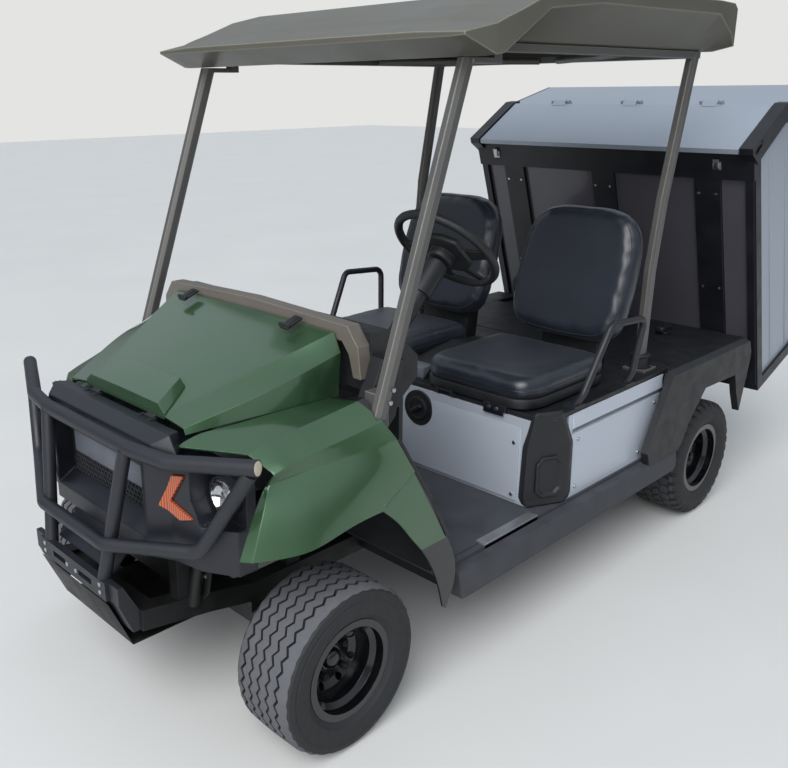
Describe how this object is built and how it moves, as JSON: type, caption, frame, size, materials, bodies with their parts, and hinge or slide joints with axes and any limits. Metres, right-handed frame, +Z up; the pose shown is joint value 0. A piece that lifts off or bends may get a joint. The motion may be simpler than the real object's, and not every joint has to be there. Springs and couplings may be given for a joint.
{
  "type": "golf cart",
  "caption": "Open utility golf cart with faceted hood, bent-tube front guard, bucket seats, flat roof on struts and a leaning rear cargo box.",
  "frame": {"origin": "centre of the overall box, on the ground", "axes": "+X to the front of the cart, +Y to its left side, +Z up"},
  "size_m": [3.4384, 1.32, 1.9619],
  "materials": {
    "green_paint": "metallic gloss",
    "black_plastic": "grained matte",
    "dark_grey_plastic": "satin",
    "grey_strip": "satin",
    "frame_steel": "satin black",
    "guard_steel": "fine texture powder coat",
    "strut_steel": "satin powder coat",
    "cast_parts": "black",
    "engine": "plain",
    "pale_panel": "satin",
    "box_brown": "gloss",
    "vinyl": "grained vinyl",
    "tyre_rubber": "matte",
    "wheel_black": "gloss black",
    "lamp_glass": "clear",
    "marker_amber": "gloss",
    "roof_skin": "satin",
    "floor_mat": "ribbed matte"
  },
  "bodies": {
    "chassis": {"frame": "frame_steel", "front_axle": "cast_parts", "rear_axle": "cast_parts", "powertrain": "engine", "floor": "floor_mat", "cowl": "grey_strip", "dash": "black_plastic", "fascia": "dark_grey_plastic", "grille": "black_plastic", "brush_guard": "guard_steel", "seat_panels": "pale_panel", "port_cover": "black_plastic", "seat_base": "black_plastic", "canopy_frame": "strut_steel", "roof": "roof_skin", "box_shell": "pale_panel", "box_frame": "black_plastic", "box_front": "box_brown", "steering_column": "black_plastic", "front_wing_left": "green_paint", "rear_wing_left": "black_plastic", "headlamp_left": "lamp_glass", "marker_left": "marker_amber", "corner_left": "black_plastic", "seat_back_left": "vinyl", "hip_rail_left": "frame_steel", "front_wing_right": "green_paint", "rear_wing_right": "black_plastic", "headlamp_right": "lamp_glass", "marker_right": "marker_amber", "corner_right": "black_plastic", "seat_back_right": "vinyl", "hip_rail_right": "frame_steel"},
    "hood": {"hood": "green_paint"},
    "box_lid": {"box_lid": "pale_panel"},
    "steering_wheel": {"steering_wheel": "black_plastic"},
    "pedal_brake": {"pedal_brake": "cast_parts"},
    "pedal_drive": {"pedal_drive": "cast_parts"},
    "cushion_left": {"cushion_left": "vinyl"},
    "knuckle_left": {"knuckle_left": "cast_parts"},
    "wheel_front_left": {"rim_front_left": "wheel_black", "tyre_front_left": "tyre_rubber"},
    "wheel_rear_left": {"rim_rear_left": "wheel_black", "tyre_rear_left": "tyre_rubber"},
    "cushion_right": {"cushion_right": "vinyl"},
    "knuckle_right": {"knuckle_right": "cast_parts"},
    "wheel_front_right": {"rim_front_right": "wheel_black", "tyre_front_right": "tyre_rubber"},
    "wheel_rear_right": {"rim_rear_right": "wheel_black", "tyre_rear_right": "tyre_rubber"}
  },
  "joints": [
    {"name": "steer_left", "type": "hinge", "parent": "chassis", "child": "knuckle_left", "pos_m": [1.25925, 0.398, 0.237], "axis": [0, 0, 1], "range_deg": [-28, 28]},
    {"name": "steer_right", "type": "hinge", "parent": "chassis", "child": "knuckle_right", "pos_m": [1.25925, -0.398, 0.237], "axis": [0, 0, 1], "range_deg": [-28, 28]},
    {"name": "steering_wheel_turn", "type": "hinge", "parent": "chassis", "child": "steering_wheel", "pos_m": [0.54425, 0.29, 1.22], "axis": [-0.7071, 0, 0.7071], "range_deg": [-336, 336]},
    {"name": "hood_open", "type": "hinge", "parent": "chassis", "child": "hood", "pos_m": [1.52725, 0, 0.894], "axis": [0, 1, 0], "range_deg": [0, 50]},
    {"name": "lid_open", "type": "hinge", "parent": "chassis", "child": "box_lid", "pos_m": [-1.02507, 0, 1.62862], "axis": [0, -1, 0], "range_deg": [0, 80]},
    {"name": "brake_press", "type": "hinge", "parent": "chassis", "child": "pedal_brake", "pos_m": [0.89725, 0.33, 0.752], "axis": [0, -1, 0], "range_deg": [0, 15], "stiffness_Nm_per_rad": 12, "springref_deg": -11.46},
    {"name": "drive_press", "type": "hinge", "parent": "chassis", "child": "pedal_drive", "pos_m": [0.89725, 0.215, 0.752], "axis": [0, -1, 0], "range_deg": [0, 15], "stiffness_Nm_per_rad": 12, "springref_deg": -11.46},
    {"name": "cushion_tilt_left", "type": "hinge", "parent": "chassis", "child": "cushion_left", "pos_m": [0.40725, 0.298, 0.707], "axis": [0, 1, 0], "range_deg": [0, 60]},
    {"name": "spin_front_left", "type": "hinge", "parent": "knuckle_left", "child": "wheel_front_left", "pos_m": [1.25925, 0.51, 0.237], "axis": [0, 1, 0], "continuous": true},
    {"name": "spin_rear_left", "type": "hinge", "parent": "chassis", "child": "wheel_rear_left", "pos_m": [-0.74075, 0.51, 0.237], "axis": [0, 1, 0], "continuous": true},
    {"name": "cushion_tilt_right", "type": "hinge", "parent": "chassis", "child": "cushion_right", "pos_m": [0.40725, -0.298, 0.707], "axis": [0, 1, 0], "range_deg": [0, 60]},
    {"name": "spin_front_right", "type": "hinge", "parent": "knuckle_right", "child": "wheel_front_right", "pos_m": [1.25925, -0.51, 0.237], "axis": [0, 1, 0], "continuous": true},
    {"name": "spin_rear_right", "type": "hinge", "parent": "chassis", "child": "wheel_rear_right", "pos_m": [-0.74075, -0.51, 0.237], "axis": [0, 1, 0], "continuous": true}
  ],
  "couplings": [
    {"joint": "steer_right", "follows": "steer_left", "ratio": 1},
    {"joint": "steering_wheel_turn", "follows": "steer_left", "ratio": 12}
  ]
}
